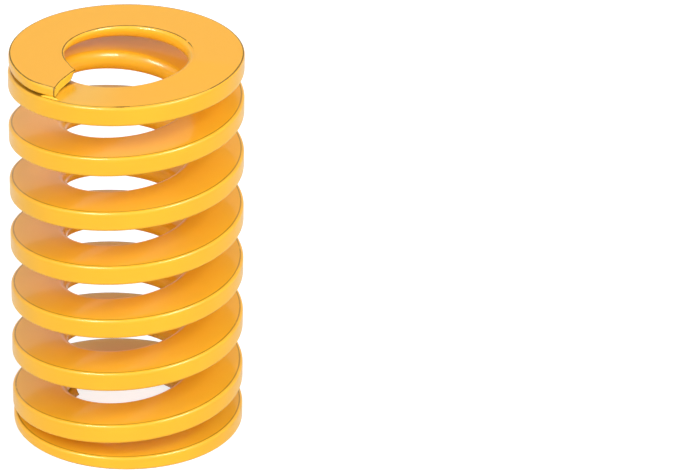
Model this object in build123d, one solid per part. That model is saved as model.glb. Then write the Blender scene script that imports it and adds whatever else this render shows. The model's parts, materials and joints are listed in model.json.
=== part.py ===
"""A die spring: one rectangular wire coiled right-handed, both ends closed and ground flat.

It stands on the plane z = 0 with its axis on +Z. Millimetres throughout.
"""
import os
from math import ceil, cos, radians, sin, sqrt

from build123d import *
from build123d.topology import SkipClean

# Sizes that drive the spring
OUTSIDE_DIA = 34.5  # so that it slides in a pocket of 35
BORE_DIA = 18.0  # so that it slides on a guide rod of 17.5
FREE_LENGTH = 60.0
WIRE_THICK = 3.0  # along the axis; its width is what lies between the two diameters
TURNS = 8.25  # from tip to tip
CLOSING_TURNS = 1.4  # over which the pitch falls from full to nearly nothing at each end
TIP_THICK = 1.6  # what grinding leaves of the wire at each tip
TIP_GAP = 0.1  # between a tip and the coil it closes on
TIP_AZIMUTH = 135.0  # of the bottom tip, in degrees from +X
OUTER_BREAK = 0.4  # 45 degree breaks on the two outer corners of the wire
CROWN_RATIO = 0.58  # radius of the wire's round inner side, as a share of its thickness
CROWN_STOCK = 0.02  # taken off the crown when the bore is sized, which leaves a narrow land
END_BREAK = 0.4  # 45 degree breaks round both ground faces, outside and in the bore
CUT_SKEW = 20.0  # degrees by which the cut at each tip is turned from radial, outer corner first
CUT_RADIUS = 33.0  # of the round cutter, which leaves each tip slightly hollow
CUT_STOCK = 0.03  # turns of wire past each tip that the cut takes off
STEPS = 6  # wire sections in each length of about a quarter turn

OUTER, BORE = OUTSIDE_DIA / 2, BORE_DIA / 2
HALF_THICK, HALF_TURNS = WIRE_THICK / 2, TURNS / 2


def closing_law():
    """Pitch of the body and pitch at the tip, in mm per turn.

    The pitch is even through the body and falls steadily over the closing turns. Two heights above
    the middle fix both: the tip's, and that of the coil one turn before it, which it closes on.
    """
    tip = FREE_LENGTH / 2 - TIP_THICK + HALF_THICK
    before = tip - WIRE_THICK - TIP_GAP
    lost = CLOSING_TURNS / 2
    lost_before = (CLOSING_TURNS - 1) ** 2 / (2 * CLOSING_TURNS)
    even, even_before = HALF_TURNS - lost, HALF_TURNS - 1 - lost_before
    scale = even * lost_before - lost * even_before
    body = (tip * lost_before - lost * before) / scale
    return body, (even * before - tip * even_before) / scale


def height(turn):
    """Height of the wire's middle above the spring's middle, this many turns up from it."""
    closing = max(0, turn - HALF_TURNS + CLOSING_TURNS)
    return PITCH * turn - (PITCH - TIP_PITCH) * closing**2 / (2 * CLOSING_TURNS)


def azimuth(turn):
    """Direction from the axis to the wire, in degrees."""
    return TIP_AZIMUTH + 360 * (turn + HALF_TURNS)


def toward(degrees):
    """Level unit vector in a direction."""
    return Vector(cos(radians(degrees)), sin(radians(degrees)), 0)


def one(shape):
    """The only solid in what a cut returns."""
    return shape[0] if isinstance(shape, list) else shape


def wire_section(turn):
    """Outline of the wire in the plane through the axis, with stock left on both walls."""
    edge, nose = OUTER + CROWN_STOCK, BORE - CROWN_STOCK
    crown = CROWN_RATIO * WIRE_THICK
    root = nose + crown - sqrt(crown**2 - HALF_THICK**2)
    low = edge - CROWN_STOCK - OUTER_BREAK
    flank = HALF_THICK - CROWN_STOCK - OUTER_BREAK
    upper = [(root, HALF_THICK), (low, HALF_THICK), (edge, flank)]
    under = [(radius, -level) for radius, level in reversed(upper)]
    sides = Polyline(*upper, *under)
    inner = ThreePointArc(under[-1], (nose, 0), upper[0])
    across = toward(azimuth(turn))
    middle = (0, 0, FREE_LENGTH / 2 + height(turn))
    plane = Plane(middle, across, across.cross(Vector(0, 0, 1)))
    return (plane * make_face([*sides.edges(), *inner.edges()])).face().outer_wire()


def envelope():
    """What the finished spring just fills: a tube as long as it, its four edges broken."""
    wide, narrow = OUTER - END_BREAK, BORE + END_BREAK
    end = [(narrow, 0), (wide, 0), (OUTER, END_BREAK)]
    other_end = [(OUTER, FREE_LENGTH - END_BREAK), (wide, FREE_LENGTH), (narrow, FREE_LENGTH)]
    wall = [(BORE, FREE_LENGTH - END_BREAK), (BORE, END_BREAK)]
    profile = Plane.XZ * make_face(Polyline(*end, *other_end, *wall, close=True))
    return revolve(profile, Axis.Z).solid()


def wire_length(first, last):
    """Wire between two turn counts, turned, bored and ground to the envelope."""
    sections = [wire_section(first + (last - first) * k / STEPS) for k in range(STEPS + 1)]
    return one(Solid.make_loft(sections).intersect(ENVELOPE))


def tip_cutter():
    """Round cutter that shears the top tip, standing clear of the rest of its coil."""
    tip = azimuth(HALF_TURNS)
    middle = toward(tip) * (OUTER + BORE) / 2 + toward(tip + 90 + CUT_SKEW) * CUT_RADIUS
    return Solid.make_cylinder(CUT_RADIUS, 2 * FREE_LENGTH, Plane(middle))


PITCH, TIP_PITCH = closing_law()
ENVELOPE = envelope()
quarters = ceil(4 * HALF_TURNS)
ends = [HALF_TURNS * k / quarters for k in range(quarters)] + [HALF_TURNS + CUT_STOCK]
upper = [wire_length(*pair) for pair in zip(ends, ends[1:])]
upper[-1] = one(upper[-1].cut(tip_cutter()))

# The lower half is the upper one turned over about a level line through the wire's middle
over = Axis((0, 0, FREE_LENGTH / 2), toward(azimuth(0)))
lower = [piece.rotate(over, 180) for piece in upper]
with SkipClean():
    spring = one(upper[0].fuse(*upper[1:], *lower))
spring.label = "spring"

os.makedirs("parts", exist_ok=True)
export_step(spring, "parts/spring.step")
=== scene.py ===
"""A die spring in glossy yellow-orange enamel, standing on a pale studio floor."""
import json
import math

import bpy
import numpy as np
from mathutils import Matrix, Vector


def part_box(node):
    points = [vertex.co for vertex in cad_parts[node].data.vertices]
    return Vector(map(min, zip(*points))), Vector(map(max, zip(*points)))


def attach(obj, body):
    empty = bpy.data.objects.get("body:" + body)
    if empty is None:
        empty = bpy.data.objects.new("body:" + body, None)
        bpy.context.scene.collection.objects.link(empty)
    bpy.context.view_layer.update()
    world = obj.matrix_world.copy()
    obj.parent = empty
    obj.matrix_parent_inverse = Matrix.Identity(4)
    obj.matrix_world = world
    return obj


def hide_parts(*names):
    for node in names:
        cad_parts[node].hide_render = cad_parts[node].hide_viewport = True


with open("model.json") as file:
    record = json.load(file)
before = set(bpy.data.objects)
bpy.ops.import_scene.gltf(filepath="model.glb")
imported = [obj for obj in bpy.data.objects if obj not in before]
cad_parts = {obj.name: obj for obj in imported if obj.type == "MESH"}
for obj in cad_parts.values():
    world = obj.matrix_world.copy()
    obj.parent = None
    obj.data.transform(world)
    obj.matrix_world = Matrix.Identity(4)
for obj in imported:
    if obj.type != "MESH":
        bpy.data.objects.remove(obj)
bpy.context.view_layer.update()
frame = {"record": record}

MM = 0.001
SEATS = {mount["name"]: mount for mount in frame["record"]["mounts"]}

# ---------------------------------------------------------------- sizes, in millimetres
low_corner, high_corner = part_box("spring")
FREE_LENGTH = (high_corner.z - low_corner.z) / MM
OUTER = SEATS["outside"]["dims"]["r_mm"]
BORE = SEATS["guide_bore"]["dims"]["r_mm"]
MIDDLE, HALF_WIDTH = (OUTER + BORE) / 2, (OUTER - BORE) / 2
HALF_THICK = 1.5  # half the wire's height along the axis
HALF_TURNS = 8.25 / 2
CLOSING_TURNS = 1.4
TIP_THICK = 1.6
TIP_GAP = 0.1
TIP_AZIMUTH = math.radians(135)  # of the bottom tip
NOSE_DEPTH = 1.25  # radial depth of the wire's oval inner side
CORNER = 0.45  # radius of the wire's outer corners

GROUND_FADE = 0.2  # depth of grinding over which the ground face gets its full crisp edges
GROUND_ARC = math.radians(55)  # how far round an outer corner goes before the ground face cuts it
GROUND_FLARE = 0.25  # how far the bore edge of a ground face is eased back
CRISP_TURNS = (0.80, 0.05)  # back from a tip, where the ground side's corner turns crisp, and the fade
TIP_WEAR = (0.35, 0.05)  # growth of the ground outer corner's radius at a tip, and the turns it takes
TIP_SET = (0.2, 0.3, 0.65, 0.045)  # inward set of the outer side at a tip, and the turns it takes, twice
TIP_NIP = (0.35, 0.05)  # outward set of the inner side at a tip, and the turns it takes

CUT_SKEW = math.radians(20)
CUT_RADIUS = 33.0
CUT_EASE_TURNS = 0.2  # over which the wire's rows swing into line with the cut
CUT_BREAK = 0.08  # small break round a cut face
CUT_RIM = 0.5  # from that break to the innermost ring of a cut face

SHARP_ANGLE = math.radians(24)  # faces that meet at more than this are not shaded as one

FAR = 6.0  # added to the distance from an edge where that edge has no line
OPEN_GAP = 9.0  # stands for the gap where no coil lies beyond
BORE_LIFT = (0.1, 1.1, 0.2)  # lift of the bore edge's line, from what half height left, and the fade
OUTER_LIFT = 0.07  # lift of the outer edge's line at a tip
CUT_OUTSIDE = (0.97, 0.5)  # share of the wire's width past which a cut's line is bolder, and by how much
CHIP_TURNS = (0.883, 0.022)  # a lone chip on the outer edge: how far back from a tip, and half its length
LAST_TURN = (0.95, 0.08)  # the part of the wire with the ground face, back from a tip, and the fade
GROUND_SHARE = 0.9  # of the way from the wire's middle to its flat, past which a row is on that face
CREVICE = (0.9, 0.1, 0.25)  # gap between coils under which a painted shade darkens the enamel, where paint also thins out, depth where it starts, and the fade
CREVICE_FLAT = (0.85, 0.12)  # share of the way from the wire's middle to its flat, and the fade
BEAD_TURNS = (-0.020, 0.010)  # of the bead of paint under a tip's outer side, counted from the tip
BEAD_RADIUS = 0.23
BEAD_END = 0.04  # share of that radius left at a bead's ends
BEAD_SEAT = (0.05, 0.5)  # of its middle: mm past the tip's outer side, and radii above the coil under it
BEAD_MESH = (48, 14)  # rings along a bead, and points round each

STATIONS_PER_TURN = 116
ROWS = {"nose": 12, "flat": 7, "corner": 7, "band": 3}  # of half the wire's outline


# ---------------------------------------------------------------- the wire's path
def closing_law():
    """Pitch of the body and pitch at the tip, in mm per turn.

    The pitch is even through the body and falls steadily over the closing turns, so that the tip
    ends at its own height and lands on the coil one turn before it.
    """
    tip = FREE_LENGTH / 2 - TIP_THICK + HALF_THICK
    before = tip - 2 * HALF_THICK - TIP_GAP
    lost = CLOSING_TURNS / 2
    lost_before = (CLOSING_TURNS - 1) ** 2 / (2 * CLOSING_TURNS)
    even, even_before = HALF_TURNS - lost, HALF_TURNS - 1 - lost_before
    scale = even * lost_before - lost * even_before
    body = (tip * lost_before - lost * before) / scale
    return body, (even * before - tip * even_before) / scale


PITCH, TIP_PITCH = closing_law()


def height(turn):
    """Height above mid-length: pitch times turns, less a square law over the closing turns."""
    up = np.abs(turn)
    closing = np.maximum(0, up - HALF_TURNS + CLOSING_TURNS)
    return np.sign(turn) * (PITCH * up - (PITCH - TIP_PITCH) * closing**2 / (2 * CLOSING_TURNS))


def cut_lead(radius):
    """Turns by which the cut at a tip runs ahead of the middle of the wire's width.

    In the plane across the axis the cut is a circle through that middle, whose centre lies along
    the wire, turned by the skew. The cosine rule gives the angle at which it crosses each radius.
    """
    centre = MIDDLE + CUT_RADIUS * np.exp(1j * (math.pi / 2 + CUT_SKEW))
    reach, bearing = abs(centre), np.angle(centre)
    cosine = (reach**2 + radius**2 - CUT_RADIUS**2) / (2 * reach * radius)
    return (bearing - np.arccos(np.clip(cosine, -1, 1))) / (2 * math.pi)


# ---------------------------------------------------------------- the wire's section
def shares(part, closed=False):
    """Even steps from 0 towards 1, one for each row of a part of the outline."""
    return np.linspace(0, 1, ROWS[part], endpoint=closed)


EDGES = np.cumsum([0, *ROWS.values()])
NOSE, FLAT, BEND, BAND = (slice(*pair) for pair in zip(EDGES, EDGES[1:]))


def half_section(middle, limit, ground, crisp, corner):
    """Half of the wire's outline, from the middle of its nose to the middle of its band.

    The nose is an ellipse, in an angle that runs from the middle's height to the flat's. The
    outer corner is an arc of its own radius, which stops short of its quarter turn where it is
    crisp. The nose flares where the flat is ground, by the square of how near the ground face is.
    Heights are from the wire's centre. Each array has the outline's rows along its last axis.
    """
    sense = np.sign(limit)
    level, radius = np.empty_like(limit), np.full_like(limit, OUTER)
    start = np.arcsin(np.clip(middle / HALF_THICK, -1, 1))
    stop = np.arcsin(np.clip(limit / HALF_THICK, -1, 1))
    edge = BORE + NOSE_DEPTH * (1 - np.cos(stop)) + ground * GROUND_FLARE

    swing = start[:, NOSE] + (stop - start)[:, NOSE] * np.sin(shares("nose") * math.pi / 2)
    level[:, NOSE] = HALF_THICK * np.sin(swing)
    near = np.maximum(0, 1 - np.abs(limit[:, NOSE] - level[:, NOSE]) / CORNER)
    radius[:, NOSE] = BORE + NOSE_DEPTH * (1 - np.cos(swing))
    radius[:, NOSE] += ground[:, NOSE] * GROUND_FLARE * near**2

    full = math.pi / 2 - crisp * (math.pi / 2 - GROUND_ARC)
    arc_edge = OUTER - corner * (1 - np.cos(full))
    foot = limit - sense * corner * np.sin(full)
    level[:, FLAT] = limit[:, FLAT]
    radius[:, FLAT] = edge[:, FLAT] + (arc_edge - edge)[:, FLAT] * shares("flat")

    bend = full[:, BEND] * (1 - shares("corner", True))
    radius[:, BEND] = OUTER - corner[:, BEND] * (1 - np.cos(bend))
    level[:, BEND] = foot[:, BEND] + (sense * corner)[:, BEND] * np.sin(bend)
    level[:, BAND] = foot[:, BAND] + (middle - foot)[:, BAND] * (1 - shares("band")[::-1])
    return radius, level


def outline_rows(lower, upper):
    """One closed outline from two halves, which share their first and last rows."""
    return np.concatenate([lower, upper[:, -2:0:-1]], axis=1)


def flat_section():
    """The plain outline of the wire, not ground, as one row."""
    rows = np.ones((1, EDGES[-1]))
    plain = 0 * rows, 0 * rows, CORNER * rows
    halves = [half_section(0 * rows, side * HALF_THICK * rows, *plain)[0] for side in (-1, 1)]
    return outline_rows(*halves)


def smooth(x):
    """Eases from 0 to 1: three times the square less twice the cube."""
    x = np.clip(x, 0, 1)
    return x * x * (3 - 2 * x)


def tip_sets(left):
    """How far the outer side is drawn in and the inner side eased out, by the turns left to a tip."""
    drawn_in = TIP_SET[0] * smooth(1 - left / TIP_SET[1]) + TIP_SET[2] * smooth(1 - left / TIP_SET[3])
    return drawn_in, TIP_NIP[0] * smooth(1 - left / TIP_NIP[1])


def coil():
    """Points of the wire's surface, station by station, and the numbers that its finish follows.

    Each row of the outline keeps its place in the section as its angle grows. Near a tip the
    rows swing ahead by the cut's lead at their radius, and the last rings draw in to break the
    cut's rim and cross its face. Heights are the path's, clipped by the two ground planes. Pairs
    are for the wire's lower and upper side.
    """
    even = np.linspace(-HALF_TURNS, HALF_TURNS, round(2 * HALF_TURNS * STATIONS_PER_TURN) + 1)
    rim = CUT_BREAK / (2 * math.pi * MIDDLE)
    even[[0, -1]] += np.array([rim, -rim])
    ends = np.array([HALF_TURNS, HALF_TURNS])
    station = np.concatenate([-ends, even, ends])[:, None]
    face = [CUT_BREAK + CUT_RIM, CUT_BREAK]
    inset = np.concatenate([face, 0 * even, face[::-1]])[:, None]
    left = HALF_TURNS - np.abs(station)
    own_end = [np.sign(station) == side for side in (-1, 1)]

    plain = flat_section()
    drawn = MIDDLE + (plain - MIDDLE) * (1 - inset / HALF_WIDTH)
    turn = station + np.sign(station) * smooth(1 - left / CUT_EASE_TURNS) * cut_lead(drawn)

    centre = FREE_LENGTH / 2 + height(turn)
    limits = [np.maximum(-HALF_THICK, -centre), np.minimum(HALF_THICK, FREE_LENGTH - centre)]
    middle = (limits[0] + limits[1]) / 2
    ground = [smooth((HALF_THICK - np.abs(limit)) / GROUND_FADE) for limit in limits]
    near = smooth((CRISP_TURNS[0] - left) / CRISP_TURNS[1])
    crisp = [np.maximum(worn, near * own) for own, worn in zip(own_end, ground)]
    wear = TIP_WEAR[0] * smooth(1 - left / TIP_WEAR[1])
    corners = [CORNER + wear * own + 0 * turn for own in own_end]

    half, count = EDGES[-1], plain.shape[1]
    columns = [np.arange(half), np.r_[0, np.arange(count - 1, half - 2, -1)]]
    halves = [
        half_section(middle[:, c], limit[:, c], worn[:, c], sharp[:, c], corner[:, c])
        for limit, worn, sharp, corner, c in zip(limits, ground, crisp, corners, columns)
    ]
    radius, level = (outline_rows(lower, upper) for lower, upper in zip(*halves))
    radius = MIDDLE + (radius - MIDDLE) * (1 - inset / HALF_WIDTH)
    outside = OUTER - radius
    drawn_in, eased_out = tip_sets(left)
    across = np.clip((radius - BORE) / (OUTER - BORE), 0, 1)
    radius = radius - drawn_in * smooth(2 * across - 1) + eased_out * smooth(1 - 2 * across)
    level = middle + (level - middle) * (1 - inset / HALF_THICK)
    angle = TIP_AZIMUTH + 2 * math.pi * (turn + HALF_TURNS)
    points = np.stack([radius * np.cos(angle), radius * np.sin(angle), centre + level], -1)

    step = np.hypot(
        np.diff(radius, axis=1, prepend=radius[:, -1:]), np.diff(level, axis=1, prepend=level[:, -1:])
    )
    step[:, 0] = 0
    around = np.cumsum(step, axis=1)

    def gap(row, lifts):
        """Distance round the outline to a row, above and below, plus a lift where the line fades."""
        both = ((row, lifts[0]), (count - row, lifts[1]))
        return np.min([np.abs(around - around[:, [here]]) + lift for here, lift in both], axis=0)

    bore_lifts = [
        FAR * (1 - worn) + BORE_LIFT[0] * smooth((np.abs(limit) - BORE_LIFT[1]) / BORE_LIFT[2])
        for worn, limit in zip(ground, limits)
    ]
    outer_lifts = [FAR * (1 - sharp) + OUTER_LIFT * smooth(1 - left / TIP_WEAR[1]) for sharp in crisp]
    chip = np.exp(-(((left - CHIP_TURNS[0]) / CHIP_TURNS[1]) ** 8))
    chip_lifts = [FAR * (1 - chip * own) for own in own_end]

    # Painted shade: the narrower the gap to the next coil, the browner the flats a little in from the
    # outer side, in place of the shade in that gap; paint also thins there.
    upper = level > middle
    spaces = [
        np.where(np.abs(turn + side) < HALF_TURNS, side * (height(turn + side) - height(turn)), OPEN_GAP)
        for side in (-1, 1)
    ]
    narrow = np.where(upper, spaces[1], spaces[0]) - 2 * HALF_THICK
    facing = (level - middle) / (np.where(upper, limits[1], limits[0]) - middle)
    flat = smooth((facing - CREVICE_FLAT[0]) / CREVICE_FLAT[1])
    hidden = smooth((outside - CREVICE[1]) / CREVICE[2]) * flat * (inset == 0)

    last_turn = smooth((LAST_TURN[0] - left) / LAST_TURN[1])
    outward = np.sign(station) * (level - middle)
    cut_gap = left * 2 * math.pi * radius + np.maximum(0, inset - CUT_BREAK)
    finish = {
        "ground_edge": np.minimum(gap(FLAT.start, bore_lifts), gap(BEND.start, outer_lifts)),
        "corner_edge": gap(BEND.start, [0 * worn for worn in ground]),
        "lone_chip": gap(BEND.start, chip_lifts),
        "cut_edge": FAR * (station < 0) + cut_gap * (1 - CUT_OUTSIDE[1] * (across > CUT_OUTSIDE[0])),
        # painted shade in the narrow gaps between coils
        "crevice": smooth(1 - narrow / CREVICE[0]) * hidden,
        # marks the cut faces, which are painted lighter for the light they catch as well as pooled paint
        "cut_face": 1.0 * (inset + 0 * radius > 0),
        "ground_face": last_turn * (outward > GROUND_SHARE * np.abs(limits[1] - middle)),
    }
    return points, finish


def coil_piece(name):
    """The spring's mesh: quads between stations, and a strip of quads across each cut face."""
    points, finish = coil()
    stations, rows = points.shape[:2]
    index = np.arange(stations * rows).reshape(stations, rows)
    here, along = index, np.roll(index, -1, axis=1)
    sides = np.stack([here[:-1], here[1:], along[1:], along[:-1]], -1).reshape(-1, 4)
    lower = np.arange(1, EDGES[-1] - 1)
    upper = rows - lower
    strip = np.stack([lower[:-1], lower[1:], upper[1:], upper[:-1]], -1)
    faces, last = sides.tolist(), EDGES[-1] - 1
    for ring, turned in ((index[0], True), (index[-1], False)):
        corners = [ring[[0, 1, rows - 1]].tolist(), ring[[last - 1, last, last + 1]].tolist()]
        faces += [cap[::-1] if turned else cap for cap in ring[strip].tolist() + corners]
    return new_piece(name, points, faces, finish)


def paint_bead(name, end):
    """Paint that has run into the corner under a tip's outer side: a thin round bead.

    Its path follows the tip's outer side one coil's thickness down, and its radius swells and
    dies away as the root of the sine of how far along it is. Turned half round for the bottom tip.
    """
    along = np.linspace(0, 1, BEAD_MESH[0])[:, None]
    around = np.linspace(0, 2 * math.pi, BEAD_MESH[1], endpoint=False)[None, :]
    turn = HALF_TURNS + BEAD_TURNS[0] + (BEAD_TURNS[1] - BEAD_TURNS[0]) * along
    left = HALF_TURNS - turn
    reach = OUTER - tip_sets(left)[0]
    size = BEAD_RADIUS * (BEAD_END + (1 - BEAD_END) * np.sin(math.pi * along) ** 0.5)
    radius = reach + BEAD_SEAT[0] + size * np.cos(around)
    level = height(turn - 1) + HALF_THICK + BEAD_SEAT[1] * BEAD_RADIUS + size * np.sin(around)
    angle = TIP_AZIMUTH + 2 * math.pi * (turn + cut_lead(reach) * (left < -BEAD_TURNS[0]) + HALF_TURNS)
    points = np.stack([radius * np.cos(angle), radius * np.sin(angle), level + 0 * angle], -1)
    if end < 0:
        facing = TIP_AZIMUTH + 2 * math.pi * HALF_TURNS
        axis = np.array([math.cos(facing), math.sin(facing), 0])
        points = 2 * (points @ axis)[..., None] * axis - points
    points[..., 2] += FREE_LENGTH / 2

    index = np.arange(BEAD_MESH[0] * BEAD_MESH[1]).reshape(BEAD_MESH)
    over = np.roll(index, -1, axis=1)
    faces = np.stack([index[:-1], index[1:], over[1:], over[:-1]], -1).reshape(-1, 4).tolist()
    faces += [index[0].tolist(), index[-1, ::-1].tolist()]
    # the bead takes the cut faces' lighter enamel: painted light, and pooled paint
    finish = dict.fromkeys(LINES, np.full(BEAD_MESH, FAR)) | {"cut_face": np.ones(BEAD_MESH)}
    return new_piece(name, points, faces, finish)


def new_piece(name, points, faces, finish):
    """An object from points in millimetres, faces and one number per point for each attribute."""
    mesh = bpy.data.meshes.new(name)
    mesh.from_pydata((points.reshape(-1, 3) * MM).tolist(), [], faces)
    for key, values in finish.items():
        layer = mesh.attributes.new(key, "FLOAT", "POINT")
        layer.data.foreach_set("value", values.reshape(-1).astype(np.float32))
    mesh.polygons.foreach_set("use_smooth", np.ones(len(mesh.polygons), bool))
    mesh.set_sharp_from_angle(angle=SHARP_ANGLE)
    mesh.update()
    piece = bpy.data.objects.new(name, mesh)
    bpy.context.scene.collection.objects.link(piece)
    return piece


# ---------------------------------------------------------------- finishes
ENAMEL = (0.97, 0.500, 0.024)
GROUND_ENAMEL = (0.97, 0.460, 0.026)
# a dark line along each outer corner: painted dark reflection, and also thin paint
CORNER_SHADE_ENAMEL = (0.34, 0.18, 0.008)
# cut faces and paint beads painted lighter: a painted highlight for the light they catch, and pooled paint
LIT_AND_POOLED_ENAMEL = (0.98, 0.62, 0.045)
BARE_EDGE = (0.19, 0.10, 0.008)
# painted shade: the brown that darkens the narrow gaps between coils, where paint also thins
CREVICE_SHADE_BROWN = (0.20, 0.075, 0.006)
CLOUD = (95.0, 0.94)  # scale of the enamel's slow change of tone, and the darker tone's share of light
CLOUD_FADE = (0.75, 0.25)  # levels of that noise between which the tone changes
CORNER_SHADE_SHARE = 0.70  # share of the deep tone along a corner: a painted dark reflection, and thin paint
CREVICE_SHADE_SHARE = 0.85  # share of the painted shade's brown in a crevice
ROUGHNESS = (0.30, 0.12, 0.2)  # of the enamel, and what a ground face and a chip add
COAT = (0.26, -0.16, 0.09)  # weight of the clear top, what a ground face adds, and its roughness
SHINE = 0.20  # specular level
PEEL = (900.0, 3.0, 0.12, 0.00006)  # scale, detail, strength and depth in metres of the fine ripple
CHIP_DEPTH = 0.8  # of a chip, against that ripple

LINE_WAVE = (3.0, 0.65, 0.45)  # detail and roughness of the noise that widens a line, and its least share
LINE_CORE = 2.2  # how many times steeper a line's slope is than its width alone would make it
LINE_BREAKS = (0.7, 2.0, 0.6)  # scale against that noise, detail and roughness of the noise that breaks it
BREAK_LEVEL = (0.92, 9.0)  # that noise and the kept share must pass this, and how steep the break is
LINES = {  # width, kept share and scale of the broken line along each kind of edge
    "ground_edge": (0.115, 0.67, 0.9),
    "cut_edge": (0.13, 0.66, 1.1),
    "lone_chip": (0.20, 1.0, 0.9),
    "corner_edge": (0.14, 0.72, 0.35),
}


class Shading:
    """Short hand for adding nodes to a tree and joining them."""

    def __init__(self, tree):
        self.tree = tree

    def add(self, kind, *sources, **settings):
        """A node with its settings, and its sockets fed in order with numbers or other sockets."""
        node = self.tree.nodes.new(kind)
        for key, value in settings.items():
            setattr(node, key, value)
        for socket, source in enumerate(sources):
            if source is not None:
                self.feed(node.inputs[socket], source)
        return node

    def feed(self, socket, source):
        if isinstance(source, bpy.types.NodeSocket):
            self.tree.links.new(source, socket)
        else:
            socket.default_value = source

    def math(self, operation, *sources, clamp=False):
        return self.add("ShaderNodeMath", *sources, operation=operation, use_clamp=clamp).outputs[0]

    def fade(self, value, start, end):
        """1 at start, falling smoothly to 0 at end."""
        node = self.add("ShaderNodeMapRange", value, start, end, 1.0, 0.0, interpolation_type="SMOOTHSTEP")
        return node.outputs[0]

    def noise(self, vector, scale, detail=2.0, roughness=0.5):
        node = self.add("ShaderNodeTexNoise", vector, None, scale, detail, roughness)
        return node.outputs[0]

    def blend(self, share, first, second):
        node = self.add("ShaderNodeMix", data_type="RGBA")
        for socket, source in ((0, share), (6, first), (7, second)):
            self.feed(node.inputs[socket], source)
        return node.outputs[2]

    def attribute(self, name):
        return self.add("ShaderNodeAttribute", attribute_name=name).outputs["Fac"]


def broken_line():
    """Group: a thin line along an edge that breaks up and varies in width, as chipped paint does."""
    tree = bpy.data.node_groups.new("broken_line", "ShaderNodeTree")
    for name, value in (("Gap", 0.0), ("Width", 0.1), ("Kept", 0.5), ("Scale", 1.0)):
        socket = tree.interface.new_socket(name, in_out="INPUT", socket_type="NodeSocketFloat")
        socket.default_value = value
    tree.interface.new_socket("Mask", in_out="OUTPUT", socket_type="NodeSocketFloat")
    s = Shading(tree)
    given = s.add("NodeGroupInput").outputs
    place = s.add("ShaderNodeTexCoord").outputs["Object"]
    fine = s.math("MULTIPLY", given["Scale"], 1 / MM)
    runs = s.noise(place, fine, *LINE_WAVE[:2])
    width = s.math("MULTIPLY", given["Width"], s.math("ADD", LINE_WAVE[2], runs))
    line = s.math("SUBTRACT", 1.0, s.math("DIVIDE", given["Gap"], width), clamp=True)
    line = s.math("MINIMUM", s.math("MULTIPLY", line, LINE_CORE), 1.0)
    breaks = s.noise(place, s.math("MULTIPLY", fine, LINE_BREAKS[0]), *LINE_BREAKS[1:])
    past = s.math("SUBTRACT", s.math("ADD", breaks, given["Kept"]), BREAK_LEVEL[0])
    lasting = s.math("MULTIPLY", past, BREAK_LEVEL[1], clamp=True)
    s.add("NodeGroupOutput", s.math("MULTIPLY", line, lasting))
    return tree


def spring_enamel():
    """Glossy enamel with a clear top, chipped to dark steel along the rims of the ground faces and
    the cuts. Painted on it: a dark line along the corners, for the dark they reflect as well as
    thin paint; brown shade in the narrow gaps between coils; and lighter cut faces and beads, for
    the light they catch as well as pooled paint."""
    material = bpy.data.materials.new("spring_enamel")
    material.use_nodes = True
    s = Shading(material.node_tree)
    s.tree.nodes.clear()
    edges = broken_line()

    def line(edge):
        """The broken line along one kind of edge."""
        gap = s.attribute(edge)
        node = s.add("ShaderNodeGroup", node_tree=edges)
        for name, source in zip(("Gap", "Width", "Kept", "Scale"), (gap, *LINES[edge])):
            s.feed(node.inputs[name], source)
        return node.outputs["Mask"]

    place = s.add("ShaderNodeTexCoord").outputs["Object"]
    cloud = s.noise(place, CLOUD[0])
    chipped = s.math("MAXIMUM", line("ground_edge"), line("cut_edge"))
    chipped = s.math("MAXIMUM", chipped, line("lone_chip"))
    corner_shade = s.math("MULTIPLY", line("corner_edge"), CORNER_SHADE_SHARE)
    darker = [CLOUD[1] * level for level in ENAMEL]
    colour = s.blend(s.fade(cloud, *CLOUD_FADE), (*ENAMEL, 1), (*darker, 1))
    ground = s.attribute("ground_face")
    colour = s.blend(ground, colour, (*GROUND_ENAMEL, 1))
    # painted light: cut faces and beads lighter, for the light they catch, and pooled paint
    colour = s.blend(s.attribute("cut_face"), colour, (*LIT_AND_POOLED_ENAMEL, 1))
    # painted shade: brown in the narrow gaps between coils, where paint also thins
    colour = s.blend(s.math("MULTIPLY", s.attribute("crevice"), CREVICE_SHADE_SHARE), colour, (*CREVICE_SHADE_BROWN, 1))
    # painted dark reflection and thin paint: a dark line along each outer corner
    colour = s.blend(corner_shade, colour, (*CORNER_SHADE_ENAMEL, 1))
    colour = s.blend(chipped, colour, (*BARE_EDGE, 1))
    rough = s.math("MULTIPLY_ADD", ground, ROUGHNESS[1], ROUGHNESS[0])
    rough = s.math("ADD", rough, s.math("MULTIPLY", chipped, ROUGHNESS[2]))
    whole = s.math("SUBTRACT", 1.0, chipped)
    coat = s.math("MULTIPLY", whole, s.math("MULTIPLY_ADD", ground, COAT[1], COAT[0]))
    peel = s.noise(place, *PEEL[:2])
    bump = s.add("ShaderNodeBump")
    bump.inputs["Strength"].default_value, bump.inputs["Distance"].default_value = PEEL[2:]
    s.feed(bump.inputs["Height"], s.math("SUBTRACT", peel, s.math("MULTIPLY", chipped, CHIP_DEPTH)))

    shader = s.add("ShaderNodeBsdfPrincipled")
    s.feed(shader.inputs["Base Color"], colour)
    s.feed(shader.inputs["Roughness"], rough)
    s.feed(shader.inputs["Coat Weight"], coat)
    shader.inputs["Specular IOR Level"].default_value = SHINE
    shader.inputs["Coat Roughness"].default_value = COAT[2]
    s.feed(shader.inputs["Normal"], bump.outputs[0])
    s.add("ShaderNodeOutputMaterial", shader.outputs[0])
    return material


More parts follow.
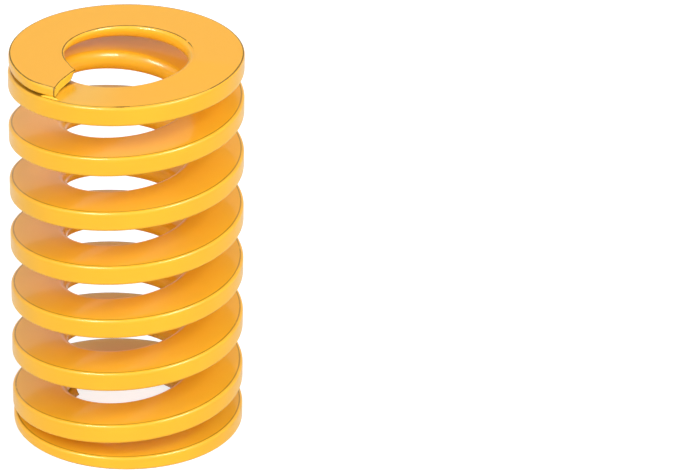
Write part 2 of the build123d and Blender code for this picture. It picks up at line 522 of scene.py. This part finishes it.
# ---------------------------------------------------------------- studio, lengths in metres
WHITE = (1, 1, 1, 1)
FLOOR_REACH = 3.0
FLOOR_GREY = (0.42, 0.42, 0.42, 1)
FLOOR_GLOW = (0.80, 0.55)  # how bright the floor is to the lens and in reflections, before any light
TENT = (1.35, 2.7, 0.45)  # light of the tent's front at the floor, part way up and overhead
TENT_HEIGHTS = ((0.0, 0.45), (0.5, 0.85))  # where it grows and where it falls, as the sine of the rise
TENT_BACK = 0.18  # share of that light from behind
TENT_SIDES = (-0.2, 0.3)  # from what share of the way back it falls to that, and where it ends
LAMP_RISE, LAMP_DISTANCE = 48, 0.75  # degrees up from the spring's middle, and the distance to it
RIGHT, LEFT = -40, -138  # bearings of the lamps, in degrees
SOFTBOX_SIZE, GLEAM_SIZE = (0.26, 0.16), (0.28, 0.26)
CAMERA_RISE = math.radians(26.6)
CAMERA_TURNS = (0.04379, -0.00006, -0.0047)  # yaw, tilt and roll, in radians
CAMERA_TARGET, CAMERA_DISTANCE = 29.75, 720.6  # its height and the lens's distance from it, in millimetres
SENSOR, FOCAL_LENGTH = 36.0, 257.2  # in millimetres
CLIP = (0.01, 20.0)  # nearest and farthest that the lens shows


def ray_kinds(s):
    """Sockets that tell a ray from the lens, and one that was mirrored or came through."""
    path = s.add("ShaderNodeLightPath").outputs
    return path["Is Camera Ray"], s.math("MAXIMUM", path["Is Glossy Ray"], path["Is Transmission Ray"])


def studio_floor():
    """A pale matt floor with a glow of its own for the lens and a weaker one for reflections, so
    that it shows near white and keeps a soft shadow."""
    mesh = bpy.data.meshes.new("studio_floor")
    corners = [(x * FLOOR_REACH, y * FLOOR_REACH, 0) for x, y in ((-1, -1), (1, -1), (1, 1), (-1, 1))]
    mesh.from_pydata(corners, [], [(0, 1, 2, 3)])
    floor = bpy.data.objects.new("studio_floor", mesh)
    bpy.context.scene.collection.objects.link(floor)
    material = bpy.data.materials.new("studio_floor")
    material.use_nodes = True
    s = Shading(material.node_tree)
    s.tree.nodes.clear()
    matt = s.add("ShaderNodeBsdfDiffuse", FLOOR_GREY).outputs[0]
    glows = [s.math("MULTIPLY", kind, share) for kind, share in zip(ray_kinds(s), FLOOR_GLOW)]
    glow = s.add("ShaderNodeEmission", WHITE, s.math("MAXIMUM", *glows)).outputs[0]
    s.add("ShaderNodeOutputMaterial", s.add("ShaderNodeAddShader", matt, glow).outputs[0])
    mesh.materials.append(material)


def studio_world():
    """White to the lens and in reflections. To everything else a soft light, like a tent of pale
    cloth: it grows with the rise and falls off towards straight up, and is weak from behind."""
    world = bpy.data.worlds.new("studio")
    world.use_nodes = True
    bpy.context.scene.world = world
    s = Shading(world.node_tree)
    s.tree.nodes.clear()
    seen = s.math("MAXIMUM", *ray_kinds(s))
    way = s.add("ShaderNodeSeparateXYZ", s.add("ShaderNodeTexCoord").outputs["Generated"]).outputs
    tent = TENT[0]
    for heights, light in zip(TENT_HEIGHTS, TENT[1:]):
        tent = s.add("ShaderNodeMapRange", way["Z"], *heights, tent, light).outputs[0]
    front = s.add("ShaderNodeMapRange", way["Y"], *TENT_SIDES, 1.0, TENT_BACK).outputs[0]
    strength = s.add("ShaderNodeMix", seen, None, s.math("MULTIPLY", tent, front), 1.0).outputs[0]
    s.add("ShaderNodeOutputWorld", s.add("ShaderNodeBackground", WHITE, strength).outputs[0])


def softbox(name, bearing, size, power, gleam_only=False):
    """A square lamp that faces the spring's middle from a bearing, in degrees. One that is for
    gleams only shows in glossy surfaces and lights nothing else."""
    lamp = bpy.data.lights.new(name, "AREA")
    lamp.shape = "RECTANGLE"
    lamp.size, lamp.size_y = size
    lamp.energy = power
    holder = bpy.data.objects.new(name, lamp)
    a, e = math.radians(bearing), math.radians(LAMP_RISE)
    away = Vector((math.cos(e) * math.cos(a), math.cos(e) * math.sin(a), math.sin(e)))
    holder.location = Vector((0, 0, FREE_LENGTH / 2 * MM)) + away * LAMP_DISTANCE
    holder.rotation_euler = away.to_track_quat("Z", "Y").to_euler()
    holder.visible_diffuse = not gleam_only
    bpy.context.scene.collection.objects.link(holder)


def turned(first, second, angle):
    """Two directions at right angles, turned by an angle from the first towards the second."""
    cosine, sine = math.cos(angle), math.sin(angle)
    return first * cosine + second * sine, second * cosine - first * sine


def studio_camera():
    """A long lens in front of the spring and above it, turned so the spring stands left of centre."""
    ahead = Vector((0, math.cos(CAMERA_RISE), -math.sin(CAMERA_RISE)))
    place = Vector((0, 0, CAMERA_TARGET * MM)) - ahead * CAMERA_DISTANCE * MM
    right = Vector((1, 0, 0))
    up = right.cross(ahead)
    yaw, tilt, roll = CAMERA_TURNS
    aim, side = turned(ahead, right, yaw)
    aim, top = turned(aim, up, tilt)
    side, top = turned(side, top, roll)
    lens = bpy.data.cameras.new("studio_camera")
    lens.sensor_width = SENSOR
    lens.lens = FOCAL_LENGTH
    lens.clip_start, lens.clip_end = CLIP
    camera = bpy.data.objects.new("studio_camera", lens)
    camera.matrix_world = Matrix.Translation(place) @ Matrix((side, top, -aim)).transposed().to_4x4()
    bpy.context.scene.collection.objects.link(camera)
    bpy.context.scene.camera = camera


spring = coil_piece("spring_coil")
spring.data.materials.append(spring_enamel())
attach(spring, "root")
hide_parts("spring")
for bead_name, end in (("top_tip_paint", 1), ("bottom_tip_paint", -1)):
    bead = paint_bead(bead_name, end)
    bead.data.materials.append(spring.data.materials[0])
    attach(bead, "root")

studio_floor()
studio_world()
softbox("right_softbox", RIGHT, SOFTBOX_SIZE, power=0.9)
softbox("left_softbox", LEFT, SOFTBOX_SIZE, power=0.2)
softbox("right_gleam", RIGHT, GLEAM_SIZE, power=8.5, gleam_only=True)
softbox("left_gleam", LEFT, GLEAM_SIZE, power=9.5, gleam_only=True)
studio_camera()
bpy.context.scene.view_settings.view_transform = "Standard"
